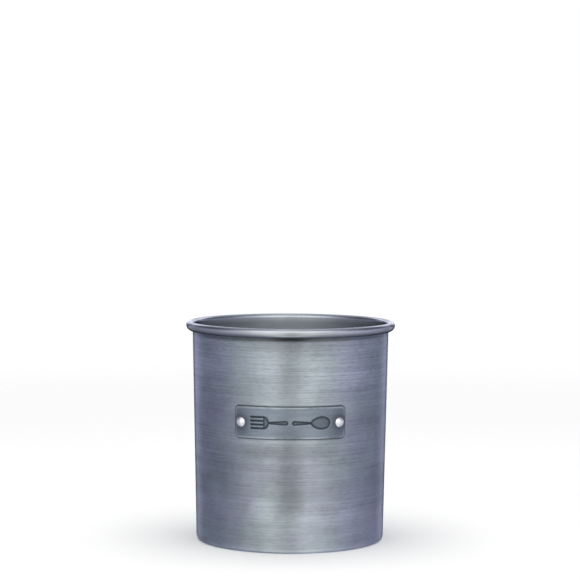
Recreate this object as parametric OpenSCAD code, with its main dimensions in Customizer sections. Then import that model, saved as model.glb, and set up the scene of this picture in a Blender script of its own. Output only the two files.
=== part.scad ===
// Utensil holder: a brushed sheet-steel can with a rolled rim, a pan pressed in as its base,
// and a curved label plate held on the front by two domed rivets. Millimetres, +Z up.
// The origin is on the table under the middle of the can, and the label plate faces -Y.

/* [Can] */
// Height from the table to the top of the rim
holder_h = 145; // [110:1:190]
// Outside diameter that the tapered wall has at the height of the rim
wall_top_d = 130; // [118:1:160]
// Outside diameter that the tapered wall has at the table
wall_foot_d = 124; // [100:1:140]
// Thickness of the steel sheet
sheet_t = 0.6; // [0.4:0.05:1]

/* [Rolled rim] */
// Outside radius of the sheet where it rolls over the top
rim_top_r = 2.4; // [1.8:0.1:3.5]
// Outside radius of the sheet where it turns back under the rim
rim_under_r = 3.8; // [3.5:0.1:6]
// Gap left between the cut edge of the roll and the wall
rim_edge_gap = 0.3; // [0.2:0.05:0.8]

/* [Foot] */
// Outside radius of the bend from the wall into the foot
foot_bend_r = 3; // [2:0.25:5]
// Width of the flat ring that the can stands on
foot_ring_w = 4; // [2:0.5:10]

/* [Welded seam] */
// Width of the hairline that the seam leaves down the outside of the back
seam_w = 0.25; // [0.15:0.05:0.6]
// Depth of that hairline
seam_depth = 0.12; // [0.05:0.01:0.25]

/* [Base pan] */
// Thickness of the pan's sheet
pan_t = 0.6; // [0.4:0.05:1]
// Clearance between the pan's flange and the wall
pan_fit = 0.1; // [0.05:0.05:0.3]
// How much wider the pan's bend is than the inside of the foot's bend
pan_bend_relief = 0.6; // [0.4:0.1:1.5]
// Height of the pan's flange, from the underside of its floor
pan_flange_h = 4; // [3.5:0.5:10]
// Width of the pan's flat ring, which rests on the foot
pan_seat_w = 5.5; // [2:0.5:12]
// How far the middle of the pan is pressed up
pan_rise = 1.5; // [0.5:0.1:2.5]
// Inside radius of the two bends of that step
pan_step_r = 1.5; // [1:0.25:4]

/* [Label plate] */
// Height of the plate
plate_h = 20.8; // [16:0.2:30]
// Length of the plate, measured round the can
plate_l = 74.6; // [60:0.2:100]
// Height of the middle of the plate above the table
plate_z = 84.5; // [40:0.5:110]
// Thickness of the plate
plate_t = 0.8; // [0.6:0.1:1.5]
// Radius of the plate's corners
plate_corner_r = 3; // [1:0.25:6]
// Gap between the plate and the wall behind it
plate_gap = 0.03; // [0.02:0.01:0.1]

/* [Pressed emblem] */
// Depth that the fork and the spoon are pressed into the plate
emblem_depth = 0.35; // [0.1:0.05:0.5]
// Space between each rivet head and the nearer end of the emblem
emblem_end_space = 3.5; // [1:0.25:6]
// Space between the emblem and each long edge of the plate
emblem_edge_space = 6.2; // [3:0.2:7]
// Space between the ends of the two handles
handle_space = 2.4; // [1:0.2:5]
// Width of a handle at its end
handle_end_w = 3; // [2:0.1:4]
// Width of a handle at its neck
handle_neck_w = 1.5; // [1:0.1:2]
// Length of the spoon's bowl
bowl_l = 12.5; // [9:0.5:16]
// Length of the fork's tines
tine_l = 8.5; // [4:0.5:11]
// Number of tines
tine_count = 4; // [2:1:4]

/* [Rivets] */
// Distance from the end of the plate to the middle of its rivet, measured round the can
rivet_inset = 4.3; // [3.5:0.1:8]
// Diameter of the domed head
rivet_head_d = 6; // [4:0.1:7]
// Height of the domed head
rivet_head_h = 1.5; // [0.8:0.1:2.2]
// Height of the upright edge under the dome
rivet_rim_h = 0.3; // [0.1:0.05:0.5]
// Diameter of the shank
rivet_shank_d = 3; // [2:0.1:3.4]
// Clearance between the shank and the holes, on the radius
rivet_hole_gap = 0.1; // [0.05:0.05:0.3]
// Gap left under the head where the plate curves away
rivet_head_gap = 0.02; // [0.02:0.01:0.1]
// Diameter of the tail that is spread inside the can
rivet_tail_d = 4.6; // [4:0.1:5.6]
// Height of the spread tail
rivet_tail_h = 0.9; // [0.6:0.1:1.5]
// Gap left between the tail and the wall, which curves towards it
rivet_tail_gap = 0.1; // [0.08:0.01:0.2]

/* [Hidden] */

// Colours, as the object shows them
wall_colour = "#8f979f";
pan_colour = "#7f868d";
plate_colour = "#7b838b";
rivet_colour = "#dfe3e8";

// Steps of the round stretches in an outline, and of a full turn
arc_step = 10;
turn_steps = 180;
// How far a cut runs past the surface that it opens
overrun = 1;

// The wall is a cone: its lean, and its outside radius at a height above the table
foot_r = wall_foot_d / 2;
top_r = wall_top_d / 2;
lean = atan((top_r - foot_r) / holder_h);
function wall_r(z) = foot_r + (top_r - foot_r) * z / holder_h;

// Points along an arc or an oval, from one angle to the other. Where it joins the one before it,
// its first point is left out. An oval with a fullness is wider towards its +X end.
function angles(from, to, joins) =
    let (steps = max(1, ceil(abs(to - from) / arc_step)))
    [for (i = [(joins ? 1 : 0):steps]) from + (to - from) * i / steps];
function arc(center, r, from, to, joins = false) =
    [for (a = angles(from, to, joins)) center + r * [cos(a), sin(a)]];
function oval(center_x, half_l, half_w, from, to, fullness = 0) =
    [for (a = angles(from, to, false))
        [center_x + half_l * cos(a), half_w * sin(a) * (1 + fullness * cos(a))]];

// A bend's centre beside the leaning face with the given outside radius, on its inner side
function bend_r(face_r, r) = face_r - r / cos(lean) + r * tan(lean);

// Rolled rim: centre of the roll over the top, and of the turn back under it
rim_z = holder_h - rim_top_r;
rim_roll_r = wall_r(rim_z) - sheet_t / cos(lean) + rim_top_r / cos(lean);
rim_tip_r = rim_roll_r + rim_top_r;
rim_turn_r = rim_tip_r - rim_under_r;
rim_edge_r = wall_r(rim_z - rim_under_r) + rim_edge_gap;
rim_turn_angle = acos((rim_edge_r - rim_turn_r) / (rim_under_r - sheet_t));

// Foot: centre of its bend, and the inner edge of the ring that stands on the table
foot_bend_c = bend_r(wall_r(0), foot_bend_r);
foot_inner_r = foot_bend_c - foot_ring_w;

// Base pan: it lies on the foot's ring, and its flange follows the wall
pan_bend_r = foot_bend_r - sheet_t + pan_bend_relief;
pan_face_r = wall_r(sheet_t) - sheet_t / cos(lean) - pan_fit;
pan_bend_c = bend_r(pan_face_r, pan_bend_r);
pan_bend_z = sheet_t + pan_bend_r;
pan_top_z = sheet_t + pan_flange_h;
function pan_flange_r(z) = pan_face_r + (z - sheet_t) * tan(lean);
step_span = 2 * pan_step_r + pan_t;
step_angle = acos(1 - pan_rise / step_span);
step_low_r = pan_bend_c - pan_seat_w;
step_high_r = step_low_r - step_span * sin(step_angle);
step_low_z = sheet_t + pan_t + pan_step_r;
step_high_z = sheet_t + pan_rise - pan_step_r;

// Label plate: its ends and the rivets sit at angles from the front, on the plate's own face
plate_low_z = plate_z - plate_h / 2;
plate_high_z = plate_z + plate_h / 2;
plate_face = plate_gap + plate_t;
plate_face_r = wall_r(plate_z) + plate_face;
function face_angle(length) = length / plate_face_r * 180 / PI;
plate_end_angle = face_angle(plate_l / 2);
rivet_angle = face_angle(plate_l / 2 - rivet_inset);
// The corner rounding crosses the straight edges at a slight angle, so that it never grazes them
corner_lap_share = 1 / 60;
corner_lap = plate_corner_r * corner_lap_share;
corner_angle = face_angle(plate_l / 2 - plate_corner_r + corner_lap);
corner_z = plate_h / 2 - plate_corner_r + corner_lap;

// Emblem: a fork and a spoon laid end to end, each from its handle's end to its tip
emblem_end_angle = face_angle(plate_l / 2 - rivet_inset - rivet_head_d / 2 - emblem_end_space);
emblem_w = plate_h - 2 * emblem_edge_space;
tool_l = plate_face_r * sin(emblem_end_angle) - handle_space / 2;
tine_w = emblem_w / (2 * tine_count - 1);
// How much fuller the bowl is towards its tip, and how deep the fork's root is for its width
bowl_fullness_share = 0.18;
root_depth_share = 0.42;

// Rivet: where the head and the tail begin, measured out from the wall's outer face
head_seat = plate_face + rivet_head_gap;
tail_seat = -sheet_t - rivet_tail_gap;
dome_h = rivet_head_h - rivet_rim_h;

// Stands children on the wall at a height, turned from the front, with +Z straight out of it
module on_wall(angle, z) {
    rotate([0, 0, angle])
        translate([0, -wall_r(z), z])
            rotate([90 + lean, 0, 0])
                children();
}

// Section of the wall in one sheet: foot ring, bend, leaning wall, and the rolled rim
module wall_section() {
    polygon(concat(
        [[foot_inner_r, 0]],
        arc([foot_bend_c, foot_bend_r], foot_bend_r, -90, -lean),
        arc([rim_roll_r, rim_z], rim_top_r - sheet_t, 180 - lean, 0),
        arc([rim_turn_r, rim_z], rim_under_r - sheet_t, 0, -rim_turn_angle, joins = true),
        arc([rim_turn_r, rim_z], rim_under_r, -rim_turn_angle, 0),
        arc([rim_roll_r, rim_z], rim_top_r, 0, 180 - lean, joins = true),
        arc([foot_bend_c, foot_bend_r], foot_bend_r - sheet_t, -lean, -90),
        [[foot_inner_r, sheet_t]]
    ));
}

// Both rivet holes, right through whatever is on the wall there
module rivet_holes() {
    for (side = [-1, 1])
        on_wall(side * rivet_angle, plate_z)
            translate([0, 0, -sheet_t - overrun])
                cylinder(h = sheet_t + plate_face + 2 * overrun,
                         r = rivet_shank_d / 2 + rivet_hole_gap, $fn = turn_steps);
}

// Rolled sheet wall with its rim and foot, the seam's hairline and the rivet holes
module body_wall() {
    color(wall_colour)
        difference() {
            rotate_extrude($fn = turn_steps) wall_section();
            rivet_holes();
            on_wall(180, foot_bend_r)
                translate([-seam_w / 2, 0, -seam_depth])
                    cube([seam_w, rim_z - rim_under_r - foot_bend_r, seam_depth + overrun]);
        }
}

// Base pan: flange, bend, flat ring on the foot, and a middle pressed up by two bends
module base_pan() {
    color(pan_colour)
        rotate_extrude($fn = turn_steps)
            polygon(concat(
                [[0, sheet_t + pan_rise]],
                arc([step_high_r, step_high_z], pan_step_r, 90, 90 - step_angle),
                arc([step_low_r, step_low_z], pan_step_r + pan_t, -90 - step_angle, -90, joins = true),
                arc([pan_bend_c, pan_bend_z], pan_bend_r, -90, -lean),
                [[pan_flange_r(pan_top_z), pan_top_z],
                 [pan_flange_r(pan_top_z) - pan_t / cos(lean), pan_top_z]],
                arc([pan_bend_c, pan_bend_z], pan_bend_r - pan_t, -lean, -90),
                arc([step_low_r, step_low_z], pan_step_r, -90, -90 - step_angle),
                arc([step_high_r, step_high_z], pan_step_r + pan_t, 90 - step_angle, 90, joins = true),
                [[0, sheet_t + pan_rise + pan_t]]
            ));
}

// A layer that lies round the front of the wall between two heights off its face
module front_layer(inner, outer) {
    rotate([0, 0, -90 - plate_end_angle])
        rotate_extrude(angle = 2 * plate_end_angle, $fn = turn_steps)
            polygon([
                [wall_r(plate_low_z) + inner, plate_low_z],
                [wall_r(plate_low_z) + outer, plate_low_z],
                [wall_r(plate_high_z) + outer, plate_high_z],
                [wall_r(plate_high_z) + inner, plate_high_z]
            ]);
}

// What is cut off one corner of the plate: a square less the circle that rounds it
module corner_waste() {
    translate([0, 0, -sheet_t])
        linear_extrude(sheet_t + plate_face + overrun)
            difference() {
                square(plate_corner_r + overrun);
                circle(plate_corner_r, $fn = turn_steps);
            }
}

// Round end of a handle, the same on the fork and on the spoon
function handle_end() = arc([handle_end_w / 2, 0], handle_end_w / 2, 90, 270);

// Spoon, from the end of its handle at zero to the tip of its bowl
module spoon_outline() {
    neck_angle = asin(handle_neck_w / emblem_w / (1 - bowl_fullness_share));
    polygon(concat(
        handle_end(),
        oval(tool_l - bowl_l / 2, bowl_l / 2, emblem_w / 2,
             neck_angle - 180, 180 - neck_angle, bowl_fullness_share)
    ));
}

// Fork, from the end of its handle at zero to the tips of its tines
module fork_outline() {
    root_x = tool_l - tine_l;
    root_l = emblem_w * root_depth_share;
    neck_angle = asin(handle_neck_w / emblem_w);
    polygon(concat(
        handle_end(),
        oval(root_x, root_l, emblem_w / 2, neck_angle - 180, -90),
        [for (i = [0:tine_count - 1])
            let (tine_y = (2 * i + 1 / 2) * tine_w - emblem_w / 2)
            each concat(
                [[root_x, tine_y - tine_w / 2]],
                arc([tool_l - tine_w / 2, tine_y], tine_w / 2, -90, 90),
                [[root_x, tine_y + tine_w / 2]]
            )],
        oval(root_x, root_l, emblem_w / 2, 90, 180 - neck_angle)
    ));
}

// The fork and the spoon, as far as they are pressed into the plate
module emblem() {
    intersection() {
        front_layer(plate_face - emblem_depth, plate_face + overrun);
        on_wall(0, plate_z)
            translate([0, 0, -wall_r(plate_z)])
                linear_extrude(wall_r(plate_z) + plate_face + overrun) {
                    translate([handle_space / 2, 0])
                        spoon_outline();
                    translate([-handle_space / 2, 0])
                        rotate(180)
                            fork_outline();
                }
    }
}

// Curved label plate with round corners, rivet holes and the pressed emblem
module label_plate() {
    color(plate_colour)
        difference() {
            front_layer(plate_gap, plate_face);
            rivet_holes();
            for (quarter = [0:90:270])
                on_wall(sign(cos(quarter + 45)) * corner_angle, plate_z)
                    translate([0, sign(sin(quarter + 45)) * corner_z, 0])
                        rotate(quarter)
                            corner_waste();
            emblem();
        }
}

// Rivet: domed head on the plate, shank through both holes, tail spread inside the can
module rivet(side) {
    head_r = rivet_head_d / 2;
    dome_r = (pow(head_r, 2) + pow(dome_h, 2)) / (2 * dome_h);
    dome_top = head_seat + rivet_head_h;
    tail_r = rivet_tail_d / 2;
    color(rivet_colour)
        on_wall(side * rivet_angle, plate_z)
            rotate_extrude($fn = turn_steps)
                polygon(concat(
                    [[0, tail_seat - rivet_tail_h],
                     [tail_r - rivet_tail_h / 2, tail_seat - rivet_tail_h],
                     [tail_r, tail_seat - rivet_tail_h / 2],
                     [tail_r, tail_seat],
                     [rivet_shank_d / 2, tail_seat],
                     [rivet_shank_d / 2, head_seat],
                     [head_r, head_seat]],
                    arc([0, dome_top - dome_r], dome_r, asin(1 - dome_h / dome_r), 90)
                ));
}

module rivet_left() {
    rivet(-1);
}

module rivet_right() {
    rivet(1);
}

body_wall();
base_pan();
label_plate();
rivet_left();
rivet_right();
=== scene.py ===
# %% [markdown]
# # A brushed steel utensil holder
# This lesson dresses a round steel pot: a can with a rolled rim, a base pan, a curved label plate
# and two domed rivets. Each of its pieces is made again here, finer, in the same place, because
# smooth metal shows every flat facet of a coarse mesh in its reflections.

import math

import bmesh
import bpy
import numpy as np
from mathutils import Matrix, Vector
from mathutils.geometry import delaunay_2d_cdt


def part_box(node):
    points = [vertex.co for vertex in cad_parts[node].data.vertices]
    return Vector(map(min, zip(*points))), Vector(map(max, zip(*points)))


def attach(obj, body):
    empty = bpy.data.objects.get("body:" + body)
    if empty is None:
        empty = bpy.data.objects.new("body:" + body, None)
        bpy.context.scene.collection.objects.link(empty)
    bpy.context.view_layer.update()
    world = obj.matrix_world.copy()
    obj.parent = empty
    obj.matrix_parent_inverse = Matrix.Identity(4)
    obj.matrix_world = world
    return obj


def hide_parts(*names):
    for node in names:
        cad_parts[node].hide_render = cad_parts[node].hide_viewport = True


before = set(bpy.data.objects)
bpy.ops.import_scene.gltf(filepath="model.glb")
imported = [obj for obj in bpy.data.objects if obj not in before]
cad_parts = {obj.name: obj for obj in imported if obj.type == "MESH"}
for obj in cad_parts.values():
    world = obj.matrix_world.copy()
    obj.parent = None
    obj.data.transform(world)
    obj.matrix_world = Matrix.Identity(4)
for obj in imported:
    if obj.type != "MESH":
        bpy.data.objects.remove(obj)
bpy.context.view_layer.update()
for node in sorted(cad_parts):
    low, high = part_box(node)
    print(node, [round(1000 * x, 2) for x in (*low, *high)])

# %% [markdown]
# ## The cone that everything lies on
# The sheet is rolled into a slightly open cone. Its radius at a height is needed for the wall, the
# plate and the rivets, so it is one small function. Lengths are in millimetres until a mesh is
# made, because that is how a sheet-metal drawing gives them.

# %% The cone's radius and lean
MM = 0.001
holder_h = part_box("body_wall")[1].z / MM
wall_top_r = 65.0
wall_foot_r = 62.0
sheet_t = 0.6
lean = math.atan((wall_top_r - wall_foot_r) / holder_h)


def wall_r(z):
    """Outside radius of the wall at a height."""
    return wall_foot_r + (wall_top_r - wall_foot_r) * z / holder_h


def even_steps(start, end, step):
    """Angles in radians from one angle in degrees to another, in even steps."""
    count = max(1, math.ceil(abs(end - start) / step))
    return [math.radians(start + (end - start) * i / count) for i in range(count + 1)]


def arc(center, r, start, end, step=7.5):
    """Points along an arc in a section, from one angle in degrees to the other."""
    turns = even_steps(start, end, step)
    return [(center[0] + r * math.cos(a), center[1] + r * math.sin(a)) for a in turns]


print(f"height {holder_h:.1f} mm, lean {math.degrees(lean):.2f} degrees")

# %% [markdown]
# ## Section of the wall
# The wall is one sheet: a flat ring that it stands on, a bend, the straight leaning side, and a
# rim that is rolled outwards and turned back under. A lathe of that section gives the whole can.
# The points are listed from the foot up the outside, round the roll, and down the inside, each
# with the name of the finish that it starts, so that a face can take its finish from its place.

# %% Bends and rows of the section
foot_bend_r = 3.0
foot_ring_w = 4.0
rim_top_r = 2.4
rim_under_r = 3.8
rim_edge_gap = 0.3
plate_z = 84.5
hole_step = 1.6
row_step = 8
seam_fade = 0.6


def bend_r(face_r, r):
    """Radius of a bend's centre beside the leaning face."""
    return face_r - r / math.cos(lean) + r * math.tan(lean)


lean_deg = math.degrees(lean)
foot_bend_c = bend_r(wall_foot_r, foot_bend_r)
foot_inner_r = foot_bend_c - foot_ring_w
rim_z = holder_h - rim_top_r
rim_roll_r = wall_r(rim_z) - sheet_t / math.cos(lean) + rim_top_r / math.cos(lean)
rim_turn_r = rim_roll_r + rim_top_r - rim_under_r
rim_edge_r = wall_r(rim_z - rim_under_r) + rim_edge_gap
rim_turn = math.degrees(math.acos((rim_edge_r - rim_turn_r) / (rim_under_r - sheet_t)))
# Rows of the straight side: every 8 mm, but close together round the rivet holes and at the
# ends of the seam down the back
hole_rows = [plate_z + hole_step * i for i in (-2, -1, 0, 1, 2)]
seam_top_z = rim_z - rim_under_r
seam_rows = [foot_bend_r + seam_fade, foot_bend_r + 2 * seam_fade]
seam_rows += [seam_top_z - seam_fade, seam_top_z, seam_top_z + seam_fade]
even_rows = [*range(10, 76, row_step), *range(94, 134, row_step)]
side_rows = sorted([*seam_rows, *even_rows, *hole_rows])
print(f"{len(side_rows)} rows up the side, the roll turns {rim_turn:.0f} degrees under")


# %% Points of the section
def side_line(offset, downwards=False):
    """Points up or down the straight side, at a distance from its outer face."""
    rows = reversed(side_rows) if downwards else side_rows
    return [(wall_r(z) + offset, z) for z in rows]


inner_offset = -sheet_t / math.cos(lean)
foot_bend_at = (foot_bend_c, foot_bend_r)
stretches = [
    ("outside", [(foot_inner_r, 0.0)]),
    ("outside", arc(foot_bend_at, foot_bend_r, -90, -lean_deg)),
    ("outside", side_line(0.0)),
    ("hidden", arc((rim_roll_r, rim_z), rim_top_r - sheet_t, 180 - lean_deg, 0)),
    ("hidden", arc((rim_turn_r, rim_z), rim_under_r - sheet_t, 0, -rim_turn)[1:]),
    ("rim", arc((rim_turn_r, rim_z), rim_under_r, -rim_turn, 0)),
    ("rim", arc((rim_roll_r, rim_z), rim_top_r, 0, 180 - lean_deg)[1:]),
    ("inside", side_line(inner_offset, downwards=True)),
    ("inside", arc(foot_bend_at, foot_bend_r - sheet_t, -lean_deg, -90)),
    ("inside", [(foot_inner_r, sheet_t)]),
]
wall_section = [point for _, points in stretches for point in points]
wall_finish = [name for name, points in stretches for _ in points]
print(f"{len(wall_section)} points, rim {2 * (rim_roll_r + rim_top_r):.2f} mm across")

# %% [markdown]
# ## A lathe for closed and open sections
# Blender has a Screw modifier that turns a section, but a small function of our own gives the
# columns any spacing, which the rivet holes and the seam need. A point on the axis becomes one
# vertex with a fan of triangles, so that a disc or a dome closes cleanly.


# %% From a bmesh to an object
def finish_mesh(name, mesh_data, sharp=35):
    """Makes an object of a bmesh, smooth but for edges sharper than an angle in degrees."""
    bmesh.ops.remove_doubles(mesh_data, verts=mesh_data.verts, dist=1e-7)
    bmesh.ops.recalc_face_normals(mesh_data, faces=mesh_data.faces)
    mesh = bpy.data.meshes.new(name)
    mesh_data.to_mesh(mesh)
    mesh_data.free()
    mesh.shade_smooth()
    mesh.set_sharp_from_angle(angle=math.radians(sharp))
    piece = bpy.data.objects.new(name, mesh)
    bpy.context.scene.collection.objects.link(piece)
    print(f"{name}: {len(mesh.vertices)} vertices, {len(mesh.polygons)} faces")
    return piece


print("mesh helper ready")


# %% The lathe
def even_turn(count):
    """Angles of a full turn in even steps."""
    return [2 * math.pi * i / count for i in range(count)]


def lathe(section, turns, closed, dent=None, slots=None):
    """A bmesh of a section in millimetres, turned to each angle. Angle 0 is the front, -Y."""
    turned = bmesh.new()
    rings = []
    for i, (r, z) in enumerate(section):
        if r == 0:
            rings.append([turned.verts.new((0, 0, z * MM))])
            continue
        ring = []
        for j, a in enumerate(turns):
            depth = dent(i, j) if dent else 0
            at = (r - depth) * MM
            ring.append(turned.verts.new((at * math.sin(a), -at * math.cos(a), z * MM)))
        rings.append(ring)
    spans = len(section) if closed else len(section) - 1
    for i in range(spans):
        low, high = rings[i], rings[(i + 1) % len(section)]
        for j in range(len(turns)):
            k = (j + 1) % len(turns)
            corners = [low[j % len(low)], low[k % len(low)], high[k % len(high)], high[j % len(high)]]
            face = turned.faces.new(list(dict.fromkeys(corners)))
            face.material_index = slots[i] if slots else 0
    return turned, rings


def bridge(mesh_data, first, second, slot=0):
    """Joins two closed rows of vertices with a band of faces."""
    for n in range(len(first)):
        m = (n + 1) % len(first)
        mesh_data.faces.new([first[n], first[m], second[m], second[n]]).material_index = slot


print("lathe ready")

# %% [markdown]
# ## The wall, with its seam and its rivet holes
# The columns are spaced so that two of them run through the rivets. Round each rivet a block of
# four by four faces is taken out, on the outside and on the inside, and a ring of faces leads
# from the block's edge to a round hole. Every vertex stays on the cone, so the reflections run
# past the hole undisturbed, which a boolean cut would spoil. Three close columns at the back
# make the hairline that is left where the sheet's two edges are welded and ground.

# %% The wall's columns
plate_gap = 0.03
plate_t = 0.8
plate_l = 74.6
plate_h = 20.8
rivet_inset = 4.3
plate_face = plate_gap + plate_t
plate_face_r = wall_r(plate_z) + plate_face
rivet_angle = (plate_l / 2 - rivet_inset) / plate_face_r
seam_w = 0.25
seam_depth = 0.12
seam_half = seam_w / 2 / wall_r(plate_z)
front_steps = 42
back_steps = 106
back_span = math.pi - seam_half - rivet_angle
columns = [rivet_angle * (2 * i / front_steps - 1) for i in range(front_steps + 1)]
columns += [rivet_angle + back_span * i / back_steps for i in range(1, back_steps + 1)]
columns += [math.pi]
columns += [math.pi + seam_half + back_span * i / back_steps for i in range(back_steps)]
seam_column = columns.index(math.pi)
print(f"{len(columns)} columns, the rivets at {math.degrees(rivet_angle):.2f} degrees")

# %% Opening a hole
hole_r = 1.6


def open_hole(wall, rings, rows, column, turn):
    """Leads a block of four by four faces in to a round hole, and returns the hole's vertices."""
    left = column - 2
    block = [[rings[row][(left + j) % len(columns)] for j in range(5)] for row in rows]
    in_block = {v for line in block for v in line}
    gone = [f for f in wall.faces if all(v in in_block for v in f.verts)]
    slot = gone[0].material_index
    path = [(0, j) for j in range(4)] + [(i, 4) for i in range(4)]
    path += [(4, 4 - j) for j in range(4)] + [(4 - i, 0) for i in range(4)]
    edge = [block[i][j] for i, j in path]
    bmesh.ops.delete(wall, geom=gone, context="FACES_ONLY")
    for line in block[1:4]:
        for v in line[1:4]:
            wall.verts.remove(v)
    offset = math.hypot(edge[0].co.x, edge[0].co.y) / MM - wall_r(edge[0].co.z / MM)
    hole = []
    for v in edge:
        side = (math.atan2(v.co.x, -v.co.y) - turn) * plate_face_r
        up = v.co.z / MM - plate_z
        share = hole_r / math.hypot(side, up)
        a, z = turn + side * share / plate_face_r, plate_z + up * share
        at = (wall_r(z) + offset) * MM
        hole.append(wall.verts.new((at * math.sin(a), -at * math.cos(a), z * MM)))
    bridge(wall, edge, hole, slot)
    return hole


print(f"holes {2 * hole_r} mm across")


# %% Turn the wall and open its holes
def seam_dent(i, j):
    """How far the seam sinks the wall's outer face at a point of the section and a column."""
    on_side = wall_finish[i] == "outside" and foot_bend_r < wall_section[i][1] <= seam_top_z
    return seam_depth if on_side and j == seam_column else 0


finish_order = ["outside", "hidden", "rim", "inside"]
slots = [finish_order.index(name) for name in wall_finish]
wall, rings = lathe(wall_section, columns, closed=True, dent=seam_dent, slots=slots)
for column, turn in ((0, -rivet_angle), (front_steps, rivet_angle)):
    edges = []
    for finish_name in ("outside", "inside"):
        rows = [
            i
            for z in hole_rows
            for i, (_, at) in enumerate(wall_section)
            if at == z and wall_finish[i] == finish_name
        ]
        edges.append(open_hole(wall, rings, rows, column, turn))
    bridge(wall, *edges)
can_wall = finish_mesh("can_wall", wall)

# %% [markdown]
# ## The base pan
# A thin pan closes the can. It lies on the ring at the foot, its flange stands up along the wall,
# and its middle is pressed up a little, which stiffens it and keeps the pot from rocking. It is a
# lathe of one open section, from the middle underneath, round the flange, to the middle on top.

# %% The base pan
pan_t = 0.6
pan_fit = 0.1
pan_bend_relief = 0.6
pan_seat_w = 5.5
pan_step_r = 1.5
pan_rise = 1.5
pan_top_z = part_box("base_pan")[1].z / MM
pan_bend = foot_bend_r - sheet_t + pan_bend_relief
pan_face_r = wall_r(sheet_t) - sheet_t / math.cos(lean) - pan_fit
pan_bend_at = (bend_r(pan_face_r, pan_bend), sheet_t + pan_bend)
step_span = 2 * pan_step_r + pan_t
step_deg = math.degrees(math.acos(1 - pan_rise / step_span))
step_low = (pan_bend_at[0] - pan_seat_w, sheet_t + pan_t + pan_step_r)
step_high = (step_low[0] - step_span * math.sin(math.radians(step_deg)), sheet_t + pan_rise - pan_step_r)
flange_r = pan_face_r + (pan_top_z - sheet_t) * math.tan(lean)
# Rings across the pressed-up middle keep its faces short
pan_rings = [step_high[0] * share for share in (0.15, 0.4, 0.65, 0.85)]
pan_under_z = sheet_t + pan_rise
pan_section = [
    (0.0, pan_under_z),
    *[(r, pan_under_z) for r in pan_rings],
    *arc(step_high, pan_step_r, 90, 90 - step_deg),
    *arc(step_low, pan_step_r + pan_t, -90 - step_deg, -90),
    *arc(pan_bend_at, pan_bend, -90, -lean_deg),
    (flange_r, pan_top_z),
    (flange_r - pan_t / math.cos(lean), pan_top_z),
    *arc(pan_bend_at, pan_bend - pan_t, -lean_deg, -90),
    *arc(step_low, pan_step_r, -90, -90 - step_deg),
    *arc(step_high, pan_step_r + pan_t, 90 - step_deg, 90),
    *[(r, pan_under_z + pan_t) for r in reversed(pan_rings)],
    (0.0, pan_under_z + pan_t),
]
pan, _ = lathe(pan_section, even_turn(192), closed=False)
base_sheet = finish_mesh("base_sheet", pan)

# %% [markdown]
# ## The pressed fork and spoon
# The label is pressed with a fork and a spoon, laid end to end. A press leaves no sharp edge: the
# metal sinks over a fraction of a millimetre. So the depth is worked out from the distance to the
# outline, and for that each tool is one closed outline, drawn from its handle to its tip.

# %% Sizes of the fork and the spoon
rivet_head_d = 6.0
emblem_end_space = 3.5
emblem_edge_space = 6.2
handle_space = 2.4
handle_end_w = 3.0
handle_neck_w = 1.5
bowl_l = 12.5
tine_l = 8.5
tine_count = 4
bowl_fullness = 0.18
root_depth = 0.42
emblem_end_angle = (plate_l / 2 - rivet_inset - rivet_head_d / 2 - emblem_end_space) / plate_face_r
emblem_w = plate_h - 2 * emblem_edge_space
tool_l = plate_face_r * math.sin(emblem_end_angle) - handle_space / 2
tine_w = emblem_w / (2 * tine_count - 1)
print(f"each tool {tool_l:.1f} mm long, tines {tine_w:.2f} mm wide")


# %% Outlines of the fork and the spoon
def oval(center_x, half_l, half_w, start, end, fullness=0.0, step=6):
    """Points along an oval that is wider towards its +X end."""
    return [
        (center_x + half_l * math.cos(a), half_w * math.sin(a) * (1 + fullness * math.cos(a)))
        for a in even_steps(start, end, step)
    ]


def handle_end():
    """The round end of a handle."""
    return arc((handle_end_w / 2, 0), handle_end_w / 2, 90, 270, step=15)


def spoon_outline():
    """A spoon from its handle's end round its bowl."""
    neck = math.degrees(math.asin(handle_neck_w / emblem_w / (1 - bowl_fullness)))
    bowl = oval(tool_l - bowl_l / 2, bowl_l / 2, emblem_w / 2, neck - 180, 180 - neck, bowl_fullness)
    return handle_end() + bowl


def fork_outline():
    """A fork from its handle's end round its four tines."""
    root_x = tool_l - tine_l
    neck = math.degrees(math.asin(handle_neck_w / emblem_w))
    line = handle_end() + oval(root_x, emblem_w * root_depth, emblem_w / 2, neck - 180, -90)
    for i in range(tine_count):
        tine_y = (2 * i + 0.5) * tine_w - emblem_w / 2
        line.append((root_x, tine_y - tine_w / 2))
        line += arc((tool_l - tine_w / 2, tine_y), tine_w / 2, -90, 90, step=15)
        line.append((root_x, tine_y + tine_w / 2))
    return line + oval(root_x, emblem_w * root_depth, emblem_w / 2, 90, 180 - neck)


def spaced(line, pitch):
    """A closed outline again, with points no further apart than a pitch."""
    points = []
    for a, b in zip(line, line[1:] + line[:1]):
        count = math.ceil(math.dist(a, b) / pitch)
        for i in range(count):
            points.append((a[0] + (b[0] - a[0]) * i / count, a[1] + (b[1] - a[1]) * i / count))
    return np.array(points)


tool_pitch = 0.3
spoon = [(x + handle_space / 2, y) for x, y in spoon_outline()]
fork = [(-x - handle_space / 2, -y) for x, y in fork_outline()]
tools = [spaced(line, tool_pitch) for line in (spoon, fork)]
print(f"emblem {2 * tool_l + handle_space:.1f} by {emblem_w:.1f} mm, {sum(map(len, tools))} points")

# %% [markdown]
# ## Distance to an outline
# The signed distance from a point to a closed line is negative inside it. NumPy works it out for
# all the points at once: the nearest distance to any segment, and the sign by counting how often
# a ray from the point crosses the line.


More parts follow.
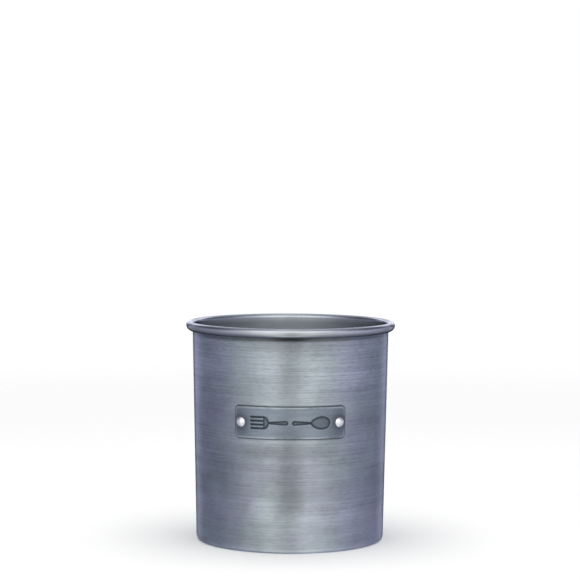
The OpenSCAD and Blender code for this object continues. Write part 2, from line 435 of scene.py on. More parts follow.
# %% Signed distance
def signed_distance(points, line):
    """Distance from each point to a closed outline, negative inside it."""
    best = np.full(len(points), np.inf)
    crossings = np.zeros(len(points), int)
    for start, step in zip(line, np.roll(line, -1, axis=0) - line):
        share = np.clip(((points - start) @ step) / (step @ step), 0, 1)
        gap = points - (start + share[:, None] * step)
        best = np.minimum(best, np.hypot(gap[:, 0], gap[:, 1]))
        above, below = start[1] > points[:, 1], start[1] + step[1] > points[:, 1]
        crosses = above != below
        rise = step[1] if step[1] else 1.0
        reach = start[0] + (points[:, 1] - start[1]) / rise * step[0]
        crossings += crosses & (points[:, 0] < reach)
    return np.where(crossings % 2, -best, best)


def emblem_distance(points):
    """Distance to the nearer of the two tools, from places on the plate's face."""
    flat = np.c_[plate_face_r * np.sin(points[:, 0] / plate_face_r), points[:, 1]]
    return np.minimum(*[signed_distance(flat, line) for line in tools])


middle_of_bowl = np.array([[tool_l - bowl_l / 2, 0.0]])
print(f"middle of the bowl is {-emblem_distance(middle_of_bowl)[0]:.2f} mm inside its outline")

# %% [markdown]
# ## The label plate
# The plate is a strip with round corners, bent to the can. Its face is laid out flat: close lines
# of points follow the outline and the pressed tools, a loose pattern fills the rest, and a
# Delaunay triangulation joins them. Each point then gets its height, from the rounding along the
# edge and the depth of the pressing, and the flat layout is bent round the cone.

# %% The plate's outline
head_r = rivet_head_d / 2
corner_r = 3.0
edge_round = 0.4
emblem_depth = 0.35
press_out = 0.16
press_in = 0.22
half_l, half_h = plate_l / 2, plate_h / 2
corner_at = (half_l - corner_r, half_h - corner_r)


def round_outline(inset, pitch=0.5):
    """The plate's outline, moved in by a distance."""
    r = corner_r - inset
    line = []
    for quarter, (sx, sy) in enumerate(((1, 1), (-1, 1), (-1, -1), (1, -1))):
        center = (sx * corner_at[0], sy * corner_at[1])
        line += arc(center, r, 90 * quarter, 90 * quarter + 90, step=9)
    return spaced(line, pitch)


def plate_distance(points):
    """How far inside the plate's outline each point lies."""
    reach = np.abs(points) - np.array(corner_at)
    outside = np.hypot(*np.maximum(reach, 0).T)
    return corner_r - outside - np.minimum(reach.max(axis=1), 0)


def hole_line(side):
    """The rivet hole at the left, -1, or at the right, 1."""
    turns = np.radians(np.arange(0, 360, 15))
    return np.c_[side * (half_l - rivet_inset) + hole_r * np.cos(turns), hole_r * np.sin(turns)]


edge_insets = [edge_round * share for share in (0.08, 0.3, 0.62, 1.0, 1.8, 3.0)]
edge_lines = [round_outline(inset) for inset in edge_insets]
outline = round_outline(0.0)
holes = [hole_line(side) for side in (-1, 1)]
print(f"{len(outline)} points round the plate, {len(edge_lines)} lines inside it")


# %% Lines beside the pressed tools
def on_face(flat):
    """Places on the plate's curved face, from places seen straight from the front."""
    return np.c_[plate_face_r * np.arcsin(flat[:, 0] / plate_face_r), flat[:, 1]]


def beside(line, distance):
    """Points beside the pressed outline, kept where they really are that far from it."""
    step = np.roll(line, -1, axis=0) - np.roll(line, 1, axis=0)
    out = np.c_[step[:, 1], -step[:, 0]] / np.hypot(step[:, 0], step[:, 1])[:, None]
    places = on_face(line + out * distance)
    off_by = np.abs(np.abs(emblem_distance(places)) - abs(distance))
    return places[off_by < 0.15 * abs(distance) + 0.005]


press_steps = (press_out, press_out / 2, -press_in / 2, -press_in)
press_lines = [beside(line, distance) for line in tools for distance in press_steps]
press_middle = [on_face(line) for line in tools]
print(f"{sum(map(len, press_lines))} points beside the pressed outlines")

# %% The loose pattern between the lines
face_pitch = 0.9
back_pitch = 2.5
hole_clearance = 0.4
press_clearance = 0.45


def pattern(pitch, keep):
    """An even triangular pattern of points over the plate, where keep allows it."""
    rows = np.arange(-half_h, half_h, pitch * 0.866)
    points = [
        (x + (pitch / 2 if n % 2 else 0), y)
        for n, y in enumerate(rows)
        for x in np.arange(-half_l, half_l, pitch)
    ]
    points = np.array(points)
    return points[keep(points)]


def to_hole(points):
    """Distance from each point to the middle of the nearer rivet hole."""
    return np.min([np.hypot(*(points - line.mean(axis=0)).T) for line in holes], axis=0)


def clear_of_lines(points):
    """Keeps the loose pattern off the outline, the holes and the pressed lines."""
    off_press = np.abs(emblem_distance(points) + (press_in - press_out) / 2)
    in_plate = plate_distance(points) > edge_insets[-1] + hole_clearance
    return in_plate & (to_hole(points) > hole_r + hole_clearance) & (off_press > press_clearance)


face_points = pattern(face_pitch, clear_of_lines)
print(f"{len(face_points)} loose points on the face")


# %% Filling, rounding, pressing and bending
def fill(loops, loose):
    """Triangles between closed loops and loose points, without what lies outside or in a hole."""
    points, sides = [], []
    for loop in loops:
        first, count = len(points), len(loop)
        points += [Vector(p) for p in loop]
        sides += [(first + i, first + (i + 1) % count) for i in range(count)]
    points += [Vector(p) for p in loose]
    made, _, faces, *_ = delaunay_2d_cdt(points, sides, [], 0, 1e-6)
    made = np.array([tuple(p) for p in made])
    middles = np.array([made[list(f)].mean(axis=0) for f in faces])
    keep = plate_distance(middles) > 0
    for line in holes:
        keep &= signed_distance(middles, line) > 0
    return made, [f for f, kept in zip(faces, keep) if kept]


def rounding(points):
    """How far the rounded edge lies under the plate's face."""
    short = np.clip(edge_round - plate_distance(points), 0, edge_round)
    return edge_round - np.sqrt(edge_round**2 - short**2)


def pressing(points):
    """How much of the full depth the pressed tools have, from 0 to 1."""
    share = np.clip((press_out - emblem_distance(points)) / (press_out + press_in), 0, 1)
    return share * share * (3 - 2 * share)


def bent(points, height):
    """Places on the flat layout, bent round the cone at heights off its face."""
    angle = points[:, 0] / plate_face_r
    z = plate_z + points[:, 1]
    r = wall_r(z) + height
    return np.c_[r * np.sin(angle), -r * np.cos(angle), z] * MM


print("plate helpers ready")

# %% Triangulate, bend and close the plate
wash_reach = 0.9
rivet_wash_and_shade_reach = 5.5
plate = bmesh.new()
pressed_layer = plate.verts.layers.float.new("pressed")
inset_layer = plate.verts.layers.float.new("inset")
rivet_layer = plate.verts.layers.float.new("rivet")
loose = np.vstack([*edge_lines, *press_lines, face_points])
front_points, front_faces = fill([outline, *holes, *press_middle], loose)
down, deep = rounding(front_points), pressing(front_points)
places = bent(front_points, plate_face - down - deep * emblem_depth)
insets = np.clip(plate_distance(front_points), 0, 3)
from_press = np.clip(-emblem_distance(front_points), 0, 5)
front = [plate.verts.new(p) for p in places]
for v, press, inset, far_in, reach in zip(front, deep, insets, from_press, to_hole(front_points)):
    # The dark wash stays thickest in the corner of the pressing and thins out over its floor
    v[pressed_layer] = press * (0.45 + 0.55 * math.exp(-((far_in / wash_reach) ** 2)))
    v[inset_layer] = inset
    # How near the rivet heads a place is, for the dark wash and the painted shade there
    v[rivet_layer] = math.exp(-(((reach - head_r) / rivet_wash_and_shade_reach) ** 2))
for f in front_faces:
    plate.faces.new([front[i] for i in f])
back_points, back_faces = fill([outline, *holes], pattern(back_pitch, clear_of_lines))
back = [plate.verts.new(p) for p in bent(back_points, plate_gap)]
for f in back_faces:
    plate.faces.new([back[i] for i in f])
for loop, top in ((outline, plate_face - edge_round), *[(line, plate_face) for line in holes]):
    bridge(plate, *([plate.verts.new(p) for p in bent(loop, off)] for off in (top, plate_gap)))
label_plate = finish_mesh("label_plate_pressed", plate, sharp=50)

# %% [markdown]
# ## The rivets
# A rivet is turned: a domed head on a low upright edge, a shank through both sheets, and a tail
# that the press has spread inside the can. It is a lathe of its own section, stood on the wall so
# that its axis is square to the leaning sheet.

# %% The rivets
rivet_head_h = 1.5
rivet_rim_h = 0.3
rivet_shank_d = 3.0
rivet_head_gap = 0.02
rivet_tail_d = 4.6
rivet_tail_h = 0.9
rivet_tail_gap = 0.1
rivet_bevel = 0.08
shank_r = rivet_shank_d / 2
tail_r = rivet_tail_d / 2
head_seat = plate_face + rivet_head_gap
tail_seat = -sheet_t - rivet_tail_gap
dome_h = rivet_head_h - rivet_rim_h
dome_r = (head_r**2 + dome_h**2) / (2 * dome_h)
dome_c = head_seat + rivet_head_h - dome_r
dome_start = math.degrees(math.asin(1 - dome_h / dome_r))
rivet_section = [
    (0.0, tail_seat - rivet_tail_h),
    (tail_r - rivet_tail_h / 2, tail_seat - rivet_tail_h),
    *arc((tail_r - rivet_tail_h / 2, tail_seat - rivet_tail_h / 2), rivet_tail_h / 2, -90, 0, step=22.5),
    (tail_r, tail_seat),
    (shank_r, tail_seat),
    (shank_r, head_seat),
    (head_r - rivet_bevel, head_seat),
    (head_r, head_seat + rivet_bevel),
    *arc((0, dome_c), dome_r, dome_start, 84, step=6),
    (0.0, head_seat + rivet_head_h),
]


def on_wall(angle, z):
    """Stands something on the wall at an angle from the front, its +Z straight out of the sheet."""
    turn = Matrix.Rotation(angle, 4, "Z")
    place = Matrix.Translation((0, -wall_r(z) * MM, z * MM))
    return turn @ place @ Matrix.Rotation(math.pi / 2 + lean, 4, "X")


rivets = []
for side, sign in (("left", -1), ("right", 1)):
    turned, _ = lathe(rivet_section, even_turn(48), closed=False)
    bmesh.ops.transform(turned, matrix=on_wall(sign * rivet_angle, plate_z), verts=turned.verts)
    rivets.append(finish_mesh(f"rivet_{side}_dome", turned))

# %% [markdown]
# ## Writing shader maths as sums
# A finish is worked out from the place on the object: noise stretched round the can gives the
# brushing, masks by height give the rim. Such sums are easier to read as sums than as a web of
# nodes, so one class wraps a node's output, and an operator on it adds the Math node.


# %% Shader values
class Shade:
    """An output in a material's nodes. Operators on it add Math nodes to the same material."""

    def __init__(self, tree, socket=None):
        self.tree = tree
        self.socket = socket

    def node(self, kind, settings=None, inputs=None, output=0):
        """Adds a node: its settings first, then the values or links of its sockets."""
        made = self.tree.nodes.new("ShaderNode" + kind)
        settings = dict(settings or {})
        stops = settings.pop("stops", None)
        for name, value in settings.items():
            setattr(made, name, value)
        if stops:
            ramp = made.color_ramp
            ramp.interpolation = "EASE"
            while len(ramp.elements) < len(stops):
                ramp.elements.new(0.5)
            for element, (at, colour) in zip(ramp.elements, stops):
                element.position = at
                element.color = (*colour, 1)
        for name, value in (inputs or {}).items():
            if isinstance(value, Shade):
                self.tree.links.new(value.socket, made.inputs[name])
            else:
                made.inputs[name].default_value = value
        return Shade(self.tree, made.outputs[output])

    def math(self, operation, *values):
        """Adds one Math node."""
        return self.node("Math", {"operation": operation}, dict(enumerate(values)))

    def __add__(self, other):
        return self.math("ADD", self, other)

    __radd__ = __add__

    def __mul__(self, other):
        return self.math("MULTIPLY", self, other)

    __rmul__ = __mul__

    def __sub__(self, other):
        return self.math("SUBTRACT", self, other)

    def __rsub__(self, other):
        return self.math("SUBTRACT", other, self)

    def __truediv__(self, other):
        return self.math("DIVIDE", self, other)

    def __abs__(self):
        return self.math("ABSOLUTE", self)

    def ease(self, start, end):
        """0 before start, 1 after end, and a smooth rise between them."""
        spans = {"From Min": start, "From Max": end, "Value": self}
        return self.node("MapRange", {"interpolation_type": "SMOOTHSTEP"}, spans)

    def between(self, start, full, fading, end):
        """0 before start, 1 from full to fading, and 0 again after end."""
        return self.ease(start, full) * (1 - self.ease(fading, end))


print("shader sums ready")


# %% Shader helpers
def axes(place):
    """The three coordinates of a place on the object, in metres."""
    return [place.node("SeparateXYZ", None, {0: place}, output=i) for i in range(3)]


def from_axis(place):
    """How far a place is from the can's own axis, in metres."""
    flat = place.node("VectorMath", {"operation": "MULTIPLY"}, {0: place, 1: (1, 1, 0)})
    return place.node("VectorMath", {"operation": "LENGTH"}, {0: flat}, output=1)


def noise(place, across, up, detail=2, rough=0.5):
    """Noise from about 0 to 1, with its own number of cells per metre across and up."""
    spot = place.node("VectorMath", {"operation": "MULTIPLY"}, {0: place, 1: (across, across, up)})
    sockets = {"Vector": spot, "Scale": 1.0, "Detail": detail, "Roughness": rough}
    return place.node("TexNoise", None, sockets)


def tinted(colour, tone):
    """A colour, made lighter or darker all over by a number round 1."""
    return tone.node("VectorMath", {"operation": "SCALE"}, {0: colour, "Scale": tone})


def mixed(factor, a, b):
    """Colour a where the factor is 0, and colour b where it is 1."""
    # The Mix node's sockets 6 and 7 are its two colours, and its output 2 is the mixed one
    return factor.node("Mix", {"data_type": "RGBA"}, {0: factor, 6: a, 7: b}, output=2)


def relief(grain, strength, depth):
    """A bump from a grain, with its depth in millimetres."""
    return grain.node("Bump", None, {"Strength": strength, "Distance": depth * MM, "Height": grain})


def new_finish(name, **constants):
    """A metal material, its surface, and the place on the object to work its finish out from."""
    material = bpy.data.materials.new(name)
    material.use_nodes = True
    tree = material.node_tree
    surface = tree.nodes["Principled BSDF"]
    for socket, value in {"Metallic": 1.0, **constants}.items():
        surface.inputs[socket.replace("_", " ")].default_value = value
    # Output 3 of Texture Coordinate is the place in the object's own axes
    return material, surface, Shade(tree).node("TexCoord", output=3)


def feed(surface, **links):
    """Links worked-out values to a surface's sockets."""
    tree = surface.id_data
    for socket, value in links.items():
        tree.links.new(value.socket, surface.inputs[socket.replace("_", " ")])


print("shader helpers ready")

# %% [markdown]
# ## Painted shadow and dirt round the label plate
# Where the plate lies on the can, a fine dark line of polish, dirt and painted contact shadow is
# left round it. The line follows the plate's outline, so its distance is worked out in the shader:
# the place on the wall is unrolled to a width and a height, and measured to a rectangle with round
# corners.


# %% Distance to the plate in the shader
def crevice_shadow_and_dirt(place):
    """How much grime and painted contact shadow lies at a place on the wall, 1 at the plate's edge and 0
    further out.
    """
    x, y, z = axes(place)
    along = place.math("ARCTAN2", x, 0 - y) * plate_face_r
    reach_x = abs(along) - corner_at[0]
    reach_z = abs(z / MM - plate_z) - corner_at[1]
    over_x = place.math("MAXIMUM", reach_x, 0.0)
    over_z = place.math("MAXIMUM", reach_z, 0.0)
    away = place.math("SQRT", over_x * over_x + over_z * over_z) - corner_r
    smudge = noise(place, 180, 180)
    return (1 - away.ease(0.1, 1.1)) * (0.75 + 0.5 * smudge)


print("crevice helper ready")

# %% [markdown]
# ## Brushed steel round the outside
# The can was brushed by turning it against an abrasive belt, so every scratch runs round it. The
# scratches spread a reflection up and down and leave it clear sideways: that is anisotropy, and
# it gives brushed cans their upright bands of light. Blender's own tangent already runs round the
# Z axis, so a quarter turn of it is all that the brushing needs. Noise with long cells round
# the can and short ones up it draws the scratches that can be told apart, and wider noise the
# belts and clouds that brushing leaves. The specular tint takes the glare off at the outline.

# %% Scratches of the outside
quarter_turn = 0.25
outside, surface, place = new_finish(
    "brushed_round",
    Anisotropic=0.75,
    Anisotropic_Rotation=quarter_turn,
    Specular_Tint=(0.48, 0.48, 0.55, 1),
)
hairlines = noise(place, 7, 2500, detail=1)
strokes = noise(place, 14, 1500, rough=0.6)
broken = noise(place, 75, 800, detail=1).ease(0.36, 0.64)
dashes = noise(place, 250, 1500, detail=1)
deep_marks = noise(place, 24, 900, detail=1).ease(0.66, 0.78)
x, y, height = axes(place)
upper = height.ease(0.085, 0.115)
lines = 0.45 * (hairlines - 0.5) + 1.05 * (strokes - 0.5) * (0.3 + 0.7 * broken)
lines = (lines + 0.50 * (dashes - 0.5)) * (0.70 + 0.42 * upper) - 0.10 * deep_marks
grain = 0.5 * hairlines + 0.5 * strokes - 0.3 * deep_marks
print(f"{outside.name}: {len(outside.node_tree.nodes)} nodes for the scratches")

# %% Belts, clouds and colour of the outside
bands = noise(place, 14, 150, detail=3)
belts = noise(place, 8, 50, detail=1)
clouds = noise(place, 42, 46, detail=3, rough=0.55)
tint = noise(place, 26, 30)
lower = 1 - height.ease(0.020, 0.045)
tone = 1.02 + lines + 0.38 * (bands - 0.5) + 0.60 * (belts - 0.5) + 0.75 * (clouds - 0.5)
# Painted light makes the wall lighter from about 85 mm up, and it is a little lighter below 45 mm
tone = tone + 0.10 * upper + 0.05 * lower
green_steel = (0.300, 0.340, 0.362, 1)
blue_steel = (0.318, 0.342, 0.392, 1)
steel = mixed(tint.ease(0.38, 0.62), green_steel, blue_steel)
print(f"{outside.name}: {len(outside.node_tree.nodes)} nodes with its belts and clouds")

# %% [markdown]
# ## Painted shade, painted reflections and wear on the outside
# A pot that is used doesn't stay even. Painted shade lies under the roll, most of it in the middle
# of the front, with softer painted shade below it. A painted dark reflection runs up the middle of
# the front as a narrow band, with a darker painted reflection low on it, and a dull belt runs round
# the can. Soft spots of painted light and painted shade lie on the front, and the foot is worn
# bright. Each mark is a mask by height, by the distance sideways from the middle of the front, or
# by both.

# %% Painted shade, painted reflections and a dull belt
sideways = abs(x)
in_front = 1 - y.ease(-0.010, 0.010)
over_edge = height / MM - seam_top_z
# Painted shade under the roll, strongest in the middle of the front and weaker towards the sides
fading = 0.22 * sideways.ease(0.004, 0.020) + 0.12 * sideways.ease(0.030, 0.055)
fading = fading + 0.24 * sideways.ease(0.052, 0.063)
painted_shade_under_roll = over_edge.ease(-3.4, -1.1) * (0.84 - fading)
# Softer painted shade on the wall below the roll, in the middle of the front
painted_shade_below_roll = over_edge.ease(-16, -3) * (1 - sideways.ease(0.014, 0.038))
# A painted dark reflection low on the middle of the front
painted_dark_reflection_patch = in_front * height.between(0.024, 0.036, 0.052, 0.066) * (1 - sideways.ease(0.002, 0.014))
# A painted dark reflection as a narrow band up the middle of the front
painted_dark_reflection_stripe = in_front * (1 - sideways.ease(0.001, 0.013))
dull_belt = height.between(0.032, 0.038, 0.045, 0.051)
for share, darkened_place in ((0.32, painted_shade_below_roll), (0.11, painted_dark_reflection_patch), (0.13, painted_dark_reflection_stripe), (0.12, dull_belt)):
    tone = tone * (1 - share * darkened_place)
print(f"{outside.name}: {len(outside.node_tree.nodes)} nodes with its dirt")

# %% Spots of painted light and shade, and the whole finish of the outside
# Spots of painted light and painted shade on the front. Columns: millimetres across from the middle
# of the front, up from the table, half the width, half the height, and how much lighter than the
# metal round it
painted_light_and_shade_spots = [
    (-17, 27, 12, 10, 0.22),
    (26, 25, 22, 10, 0.18),
    (1, 20, 13, 11, 0.22),
    (2, 35, 10, 8, -0.12),
    (-2, 66, 42, 7, -0.24),
    (-18, 106, 26, 9, -0.16),
    (30, 112, 26, 10, 0.16),
    (-46, 6, 24, 7, 0.10),
    (34, 5, 36, 6, -0.08),
    (-35, 127, 18, 10, 0.15),
    (37, 126, 18, 10, 0.12),
]
for across, up, half_w, half_h, lighter in painted_light_and_shade_spots:
    off_x = (x - across * MM) * (1 / (half_w * MM))
    off_z = (height - up * MM) * (1 / (half_h * MM))
    spot = 1 - (off_x * off_x + off_z * off_z).ease(0.0, 1.0)
    tone = tone * (1 + lighter * in_front * spot)
worn_foot = 1 - height.ease(0.4 * MM, 3.6 * MM)
# Painted contact shadow with dirt round the plate, and painted shade under the roll
painted_shade_and_dirt = place.math("MAXIMUM", 0.62 * crevice_shadow_and_dirt(place), painted_shade_under_roll)
feed(
    surface,
    Base_Color=tinted(steel, tone * (1 - painted_shade_and_dirt) * (1 + 0.75 * worn_foot)),
    Roughness=0.40 + 0.16 * (strokes - 0.5) + 0.14 * (clouds - 0.5) + 0.05 * deep_marks,
    Normal=relief(grain, 0.10, depth=0.06),
)
print(f"{outside.name}: {len(outside.node_tree.nodes)} nodes, {len(painted_light_and_shade_spots)} painted spots")

# %% [markdown]
# ## Rolled rim and satin inside
# The roll is the inner face of the sheet, turned over. Rolling polishes it, so it is smoother and
# brighter than the inside, which keeps the dull satin that the sheet came with. Further down, the
# inside is painted paler, as painted light. Both are one material, with masks by height and by the
# distance from the can's axis, so that there is no line where one goes over into the other. Painted
# shade darkens the roll towards its underside, less at the sides, and painted light makes a thin
# line along its lowest edge lighter.

# %% Finish of the rim and the inside
inside, surface, place = new_finish(
    "satin_inside",
    Anisotropic=0.4,
    Anisotropic_Rotation=quarter_turn,
    Specular_Tint=(0.26, 0.26, 0.29, 1),
)
x, _, height = axes(place)
over_edge = height / MM - seam_top_z
outer_roll = from_axis(place).ease((wall_top_r + 0.1) * MM, (wall_top_r + 0.7) * MM)
rolled = place.math("MAXIMUM", height.ease(0.1385, 0.1440), outer_roll)
# Painted shade on the roll's underside, weaker towards the sides, and painted light along its lowest edge
in_middle = 1 - 0.8 * abs(x).ease(0.050, 0.064)
painted_shade_underside = outer_roll * (1 - over_edge.ease(0.9, 3.3)) * in_middle
painted_light_lowest_edge = outer_roll * (1 - over_edge.ease(0.2, 1.1))
# Painted light: further down, the inside turns paler and less metallic
deeper_painted_light = 1 - height.ease(0.100, 0.134)
hairlines = noise(place, 20, 2400)
patches = noise(place, 34, 34, detail=4, rough=0.6)
rubbed = noise(place, 60, 300, detail=3).ease(0.45, 0.75)
tone = 1 + 0.16 * (hairlines - 0.5) + 0.28 * (patches - 0.5) + 0.10 * rubbed
satin = (0.27, 0.29, 0.315, 1)
polished = (0.42, 0.45, 0.485, 1)
satin_painted_paler = (0.58, 0.60, 0.62, 1)
colour = mixed(deeper_painted_light, mixed(rolled, satin, polished), satin_painted_paler)
feed(
    surface,
    Base_Color=tinted(colour, tone * (1 - 0.28 * painted_shade_underside) * (1 + 0.9 * painted_light_lowest_edge)),
    Metallic=1 - 0.25 * deeper_painted_light,
    Roughness=0.46 - 0.23 * rolled + 0.14 * (patches - 0.5),
    Normal=relief(hairlines, 0.06, depth=0.05),
)
print(f"{inside.name}: {len(inside.node_tree.nodes)} nodes")

# %% [markdown]
# ## Base sheet
# The base is plain sheet, turned while it was smoothed, so its faint marks are circles round the
# middle. They are noise along the radius alone. Wear leaves patches and faint dull spots on it.

# %% Finish of the base
rings_per_metre = 1400
base_finish, surface, place = new_finish(
    "turned_base",
    Metallic=0.75,
    Anisotropic=0.35,
    Anisotropic_Rotation=quarter_turn,
)
circles = place.node("CombineXYZ", None, {0: from_axis(place) * rings_per_metre, 1: 0.0, 2: 0.0})
turned_rings = place.node("TexNoise", None, {"Vector": circles, "Scale": 1.0, "Detail": 2.0})
patches = noise(place, 45, 45, detail=4, rough=0.65)
dull = noise(place, 160, 160).ease(0.58, 0.74)
tone = 1 + 0.22 * (turned_rings - 0.5) + 0.24 * (patches - 0.5) - 0.04 * dull
feed(
    surface,
    Base_Color=tinted((0.58, 0.60, 0.63), tone),
    Roughness=0.42 + 0.12 * (patches - 0.5) + 0.04 * dull,
    Normal=relief(turned_rings, 0.08, depth=0.06),
)
print(f"{base_finish.name}: {len(base_finish.node_tree.nodes)} nodes")

# %% [markdown]
# ## Label plate
# The plate is darker, as if it had been blackened and wiped: the wash stays in the pressed tools
# and round the rivets, with painted shade there too, and dirt with painted shade lies in the seam
# with the wall. The wash is rubbed off just inside the plate's edge, where a painted highlight lies
# as well.
# The mesh carries the distances as values on its vertices, because the layout knew them already.
# The tangent runs round the middle of a piece's own texture space, so the plate's is moved to
# the can's axis, and the plate is brushed along its length.

# %% Finish of the plate
plate_finish, surface, place = new_finish(
    "wiped_plate",
    Anisotropic=0.6,
    Anisotropic_Rotation=quarter_turn,
    Specular_Tint=(0.54, 0.54, 0.62, 1),
)
pressed, inset, rivet_wash_and_shade = (
    place.node("Attribute", {"attribute_name": name}, output=2)
    for name in ("pressed", "inset", "rivet")
)
strokes = noise(place, 45, 1200, detail=3, rough=0.6)
patches = noise(place, 60, 60, detail=3, rough=0.6)
grit = noise(place, 900, 900)
tone = 1 + 0.55 * (strokes - 0.5) + 0.62 * (patches - 0.5) + 0.32 * (grit - 0.5)
# Darker round the rivets: the dark wash, and painted shade closest to the heads
tone = tone * (1 - 0.34 * rivet_wash_and_shade) * (1 - 0.16 * rivet_wash_and_shade.ease(0.70, 1.0))
# Lighter just inside the edge: rubbed wear and a painted highlight
edge_wear_and_highlight = inset.between(0.25, 0.6, 0.9, 1.5) * patches.ease(0.30, 0.55)
# Darker right at the plate's edge: dirt and painted shade
edge_shade_and_dirt = 0.85 * (1 - inset.ease(0.0, 0.42))
wash = (pressed + 0.25 * pressed * (patches - 0.5)).ease(0.05, 0.95)
dark = place.math("MAXIMUM", wash, edge_shade_and_dirt)
plate_steel = (0.198, 0.232, 0.275, 1)
bare_steel_and_highlight = (0.36, 0.39, 0.42, 1)
wash_colour = (0.030, 0.037, 0.047, 1)
wiped = tinted(mixed(0.8 * edge_wear_and_highlight, plate_steel, bare_steel_and_highlight), tone)
feed(
    surface,
    Base_Color=mixed(0.9 * dark, wiped, wash_colour),
    Roughness=0.36 + 0.16 * (patches - 0.5) + 0.20 * dark - 0.08 * edge_wear_and_highlight,
    Normal=relief(strokes + 0.4 * grit, 0.10, depth=0.06),
)
label_plate.data.use_auto_texspace = False
label_plate.data.texspace_location = (0, 0, plate_z * MM)
label_plate.data.texspace_size = (0.07, 0.07, 0.07)
print(f"{plate_finish.name}: {len(plate_finish.node_tree.nodes)} nodes")

# %% [markdown]
# ## Rivets
# The heads are polished and catch the light as two white beads. Faint rubbing marks and small
# dull specks keep them from looking like mirrors.

# %% Finish of the rivets
rivet_finish, surface, place = new_finish("polished_rivet", Metallic=0.8)
rubbed = noise(place, 500, 1400, detail=3)
specks = noise(place, 1500, 1500).ease(0.62, 0.75)
feed(
    surface,
    Base_Color=tinted((0.78, 0.79, 0.82), 1 + 0.14 * (rubbed - 0.5) - 0.20 * specks),
    Roughness=0.28 + 0.12 * (rubbed - 0.5),
    Normal=relief(rubbed, 0.05, depth=0.04),
)
print(f"{rivet_finish.name}: {len(rivet_finish.node_tree.nodes)} nodes")

# %% [markdown]
# ## Putting the finishes on the pieces
# The wall has a slot for each stretch of its section, so that its outside and its rim can differ.
# Then each piece is put on the body that it moves with, and the measured piece that it stands for
# is hidden.

# %% Put the finishes on
for finish_name in finish_order:
    can_wall.data.materials.append(outside if finish_name in ("outside", "hidden") else inside)
base_sheet.data.materials.append(base_finish)
label_plate.data.materials.append(plate_finish)
for rivet in rivets:
    rivet.data.materials.append(rivet_finish)
pieces = [
    (can_wall, "body_wall", "brushed_wall"),
    (base_sheet, "base_pan", "base_sheet"),
    (label_plate, "label_plate", "label_plate"),
    (rivets[0], "rivet_left", "polished_rivet"),
    (rivets[1], "rivet_right", "polished_rivet"),
]
for piece, node, slot in pieces:
    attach(piece, "root")
    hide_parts(node)
print(f"{len(pieces)} pieces ride on the body")

# %% [markdown]
# ## Floor
# A pale floor carries the pot's soft shadow. It thins out with the distance from the pot, so
# that it goes over into the white behind it with no horizon.

# %% The floor
floor_r = 1.6
floor_fades = (0.35, 1.3)
disc = bmesh.new()
bmesh.ops.create_circle(disc, cap_ends=True, segments=128, radius=floor_r)
floor = finish_mesh("floor", disc)
floor_finish, surface, place = new_finish(
    "pale_floor",
    Metallic=0.0,
    Base_Color=(0.93, 0.93, 0.93, 1),
    Roughness=0.9,
    Specular_IOR_Level=0.0,
)
far = place.node("VectorMath", {"operation": "LENGTH"}, {0: place}, output=1)
feed(surface, Alpha=1 - far.ease(*floor_fades))
floor.data.materials.append(floor_finish)
floor.visible_glossy = False
print(f"floor {2 * floor_r} m across")

# %% [markdown]
# ## Studio
# Metal shows the room that it stands in more than its own colour. So a can is shot inside bright
# paper, with darker paper at its sides that turns its flanks dark. Here one closed shell of paper
# stands round the table. Its level changes with how far round from the front a place is, from 0
# to 1, and how high, from 0 straight below to 1 straight above. A dim gap is left for the camera.
# One bright card hangs high in front, and one high behind the pot with a bright strip under it,
# for the rim's edges. A dark card stands low behind, with a notch and a dark corner beside it, and
# draws the outline. Only the metal sees the shell, in place of the floor.

# %% The shell of paper
shell_r = 2.2
ball_r = shell_r / MM
shell_section = [(0.0, -ball_r), *arc((0, 0), ball_r, -84, 84, step=6), (0.0, ball_r)]
shell, _ = lathe(shell_section, even_turn(96), closed=False)
paper_shell = finish_mesh("paper_shell", shell)
paper_finish = bpy.data.materials.new("studio_paper")
paper_finish.use_nodes = True
tree = paper_finish.node_tree
tree.nodes.remove(tree.nodes["Principled BSDF"])
place = Shade(tree).node("TexCoord", output=3)
east, north, above = axes(place)
round_share = abs(place.math("ARCTAN2", east, 0 - north)) * (1 / math.pi)
up_share = above * (0.5 / shell_r) + 0.5
print(f"shell of paper {2 * shell_r} m across")

# %% Colour of the paper round the pot, and its level upwards
around = [
    (0.000, (1.16, 1.16, 1.14)),
    (0.130, (1.30, 1.30, 1.28)),
    (0.220, (1.06, 1.06, 1.08)),
    (0.310, (0.84, 0.84, 0.89)),
    (0.390, (0.70, 0.70, 0.81)),
    (0.500, (0.53, 0.54, 0.67)),
    (0.600, (0.47, 0.48, 0.60)),
    (0.700, (0.48, 0.49, 0.61)),
    (0.770, (0.84, 0.84, 0.98)),
    (0.830, (1.85, 1.85, 2.05)),
    (0.900, (1.30, 1.30, 1.40)),
    (1.000, (1.20, 1.20, 1.26)),
]
upwards = [
    (0.00, 1.10),
    (0.08, 0.80),
    (0.17, 0.76),
    (0.27, 0.88),
    (0.36, 1.00),
    (0.50, 1.05),
    (0.57, 1.05),
    (0.70, 0.40),
    (0.80, 0.30),
    (0.95, 0.75),
    (1.00, 0.85),
]
grey_stops = [(at, (grey, grey, grey)) for at, grey in upwards]
glow = place.node("ValToRGB", {"stops": around}, {0: round_share})
lift = place.node("ValToRGB", {"stops": grey_stops}, {0: up_share})
print(f"{len(around)} stops round the pot, {len(upwards)} upwards")

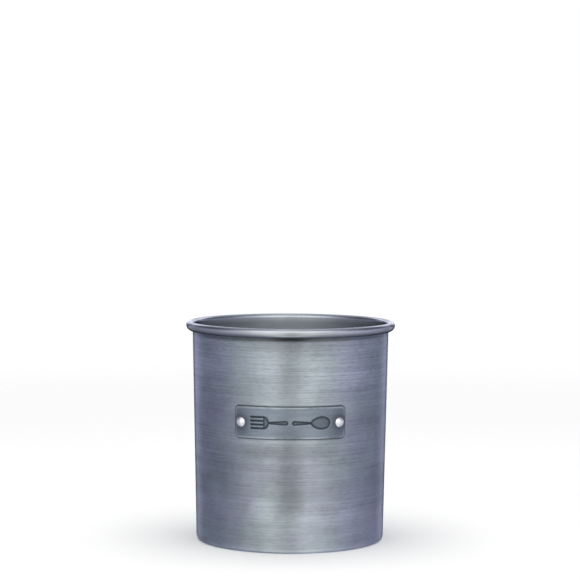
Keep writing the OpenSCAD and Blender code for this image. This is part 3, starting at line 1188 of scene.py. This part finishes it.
# %% Bright and dark cards
high_card = 1.15 * (1 - round_share.ease(0.20, 0.50)) * up_share.between(0.58, 0.68, 0.80, 0.93)
rear_card = (1.9 - 0.9 * round_share.ease(0.95, 0.99)) * round_share.ease(0.79, 0.87)
rear_card = rear_card * up_share.between(0.57, 0.63, 0.74, 0.86)
rear_strip = 1.2 * round_share.ease(0.870, 0.910) * up_share.between(0.520, 0.545, 0.60, 0.68)
camera_gap = 0.28 * (1 - round_share.ease(0.020, 0.075)) * (1 - up_share.ease(0.50, 0.58))
dark_card = 0.99 * round_share.ease(0.840, 0.885) * (1 - up_share.ease(0.510, 0.550))
dark_card = dark_card * (1 - 0.55 * round_share.ease(0.950, 0.990))
low_corner = 0.80 * round_share.ease(0.66, 0.82) * (1 - up_share.ease(0.28, 0.50))
notch = 0.82 * round_share.between(0.790, 0.815, 0.865, 0.885) * up_share.between(0.505, 0.530, 0.64, 0.70)
lean_east = 0.24 * round_share.ease(0.15, 0.45) - 0.10 * round_share.ease(0.58, 0.80) - 0.08
level = (lift + high_card + rear_card + rear_strip) * (1 + east * (1 / shell_r) * lean_east)
for darker in (camera_gap, dark_card, low_corner, notch):
    level = level * (1 - darker)
light = place.node("Emission", None, {"Color": tinted(glow, level)})
tree.links.new(light.socket, tree.nodes["Material Output"].inputs["Surface"])
paper_finish.cycles.emission_sampling = "NONE"
paper_shell.data.materials.append(paper_finish)
for ray in ("camera", "diffuse", "shadow", "transmission"):
    setattr(paper_shell, f"visible_{ray}", False)
print(f"{paper_finish.name}: {len(tree.nodes)} nodes")

# %% [markdown]
# ## Soft box and white room
# One large lamp above the pot gives it its soft shade, and the floor its shadow. The room is plain
# white where the camera looks at it, straight or in a reflection or through something clear, and
# a little dimmer as a light, so that the pale floor doesn't burn out.

# %% The soft box and the world
box_side = 1.2
box_watts = 10
box_at = (0, -0.15, 1.5)
fill_level = 0.78
soft_box = bpy.data.lights.new("soft_box", "AREA")
soft_box.size = box_side
soft_box.energy = box_watts
lamp = bpy.data.objects.new("soft_box", soft_box)
lamp.location = box_at
lamp.visible_glossy = False
bpy.context.scene.collection.objects.link(lamp)
world = bpy.data.worlds.new("white_room")
bpy.context.scene.world = world
world.use_nodes = True
world.cycles.sampling_method = "NONE"
tree = world.node_tree
camera_ray = Shade(tree).node("LightPath")
paths = camera_ray.socket.node.outputs
seen = camera_ray.math("MAXIMUM", camera_ray, Shade(tree, paths["Is Glossy Ray"]))
seen = seen.math("MAXIMUM", seen, Shade(tree, paths["Is Transmission Ray"]))
background = tree.nodes["Background"]
background.inputs["Color"].default_value = (1, 1, 1, 1)
tree.links.new((fill_level + (1 - fill_level) * seen).socket, background.inputs["Strength"])
print(f"soft box {box_side} m, fill {fill_level}")

# %% [markdown]
# ## Camera
# The photograph was taken from the front with a long lens, a little above the rim, and with the
# slightest roll. These numbers come from fitting a camera to the rim, the wall and the foot.

# %% The camera
sensor = 36.0
pixels = 580
focal_pixels = 2268.25
camera_at = (0, -1.5, 0.261)
pitch, yaw, roll = 0.06355, 0.000338, 0.004718
lens_data = bpy.data.cameras.new("front_view")
lens_data.sensor_width = sensor
lens_data.lens = sensor * focal_pixels / pixels
camera = bpy.data.objects.new("front_view", lens_data)
bpy.context.scene.collection.objects.link(camera)
level_aim = Matrix.Rotation(yaw, 4, "Z") @ Matrix.Rotation(math.pi / 2 - pitch, 4, "X")
camera.matrix_world = Matrix.Translation(camera_at) @ level_aim @ Matrix.Rotation(roll, 4, "Z")
bpy.context.scene.camera = camera
bpy.context.scene.view_settings.view_transform = "Standard"
print(f"lens {lens_data.lens:.1f} mm")
